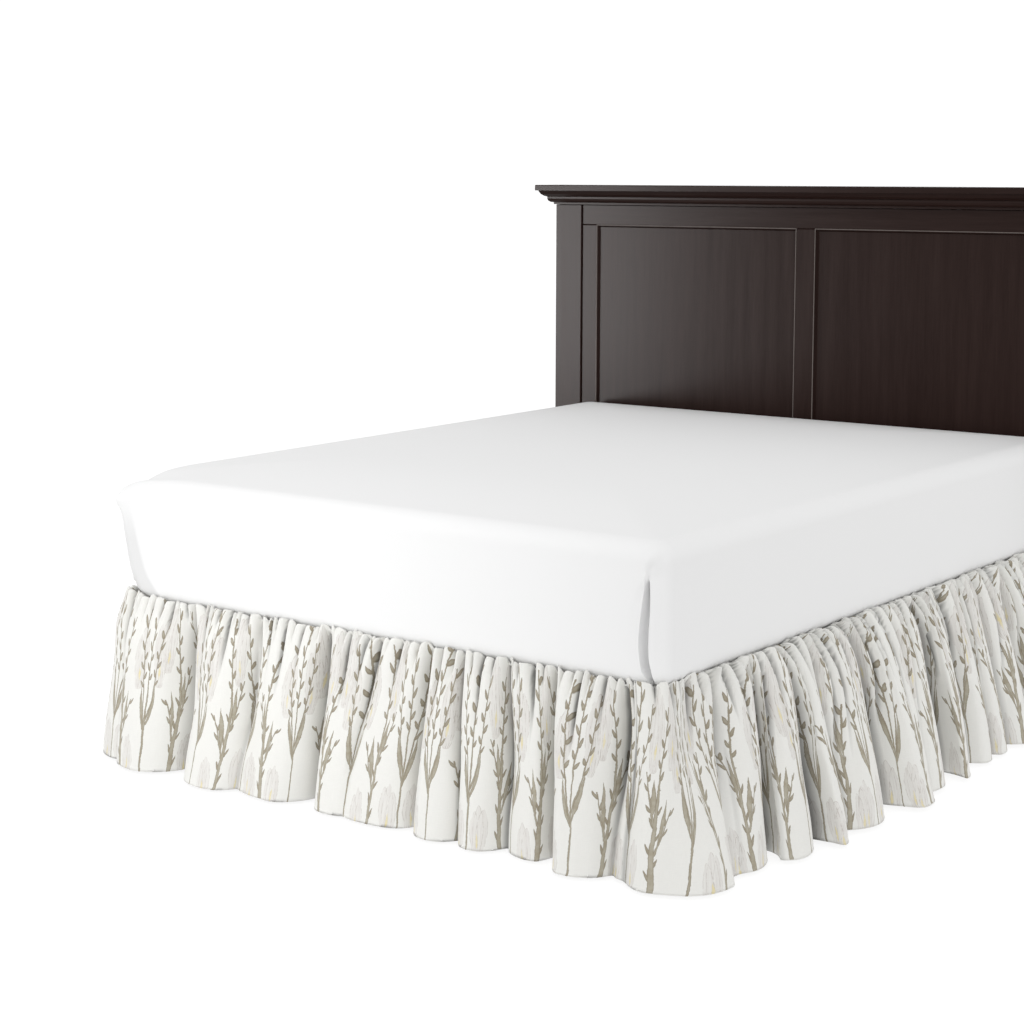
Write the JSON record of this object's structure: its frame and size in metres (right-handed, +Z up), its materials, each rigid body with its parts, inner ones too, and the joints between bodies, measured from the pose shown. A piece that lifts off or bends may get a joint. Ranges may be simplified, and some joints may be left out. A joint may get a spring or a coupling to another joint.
{
  "type": "gathered bed skirt on a bed",
  "caption": "Gathered cloth bed skirt sewn to a flat deck cloth, hanging round the sides and foot of a bed with a covered mattress, a foundation on legs and a panelled headboard.",
  "frame": {"origin": "on the floor, under the middle of the whole bed, headboard and skirt included", "axes": "+Z up, +Y from the foot towards the headboard, +X towards the right-hand side seen from the foot"},
  "size_m": [1.9698, 2.224, 1.356],
  "materials": {
    "printed_cloth": "matt woven cotton, off-white with taupe stems and pale blooms",
    "deck_cloth": "matt plain weave",
    "fitted_cover": "smooth white cotton",
    "ticking": "matt foundation cloth",
    "dark_wood": "satin espresso stain with faint upright grain"
  },
  "bodies": {
    "root": {"ruffle": "printed_cloth", "deck": "deck_cloth", "mattress": "fitted_cover", "foundation": "ticking", "leg_1": "dark_wood", "leg_2": "dark_wood", "leg_3": "dark_wood", "leg_4": "dark_wood", "leg_5": "dark_wood", "leg_6": "dark_wood", "post_left": "dark_wood", "post_right": "dark_wood", "rail_top": "dark_wood", "rail_bottom": "dark_wood", "stile_left": "dark_wood", "mullion": "dark_wood", "stile_right": "dark_wood", "panel_left": "dark_wood", "panel_right": "dark_wood", "crown": "dark_wood"}
  },
  "joints": []
}
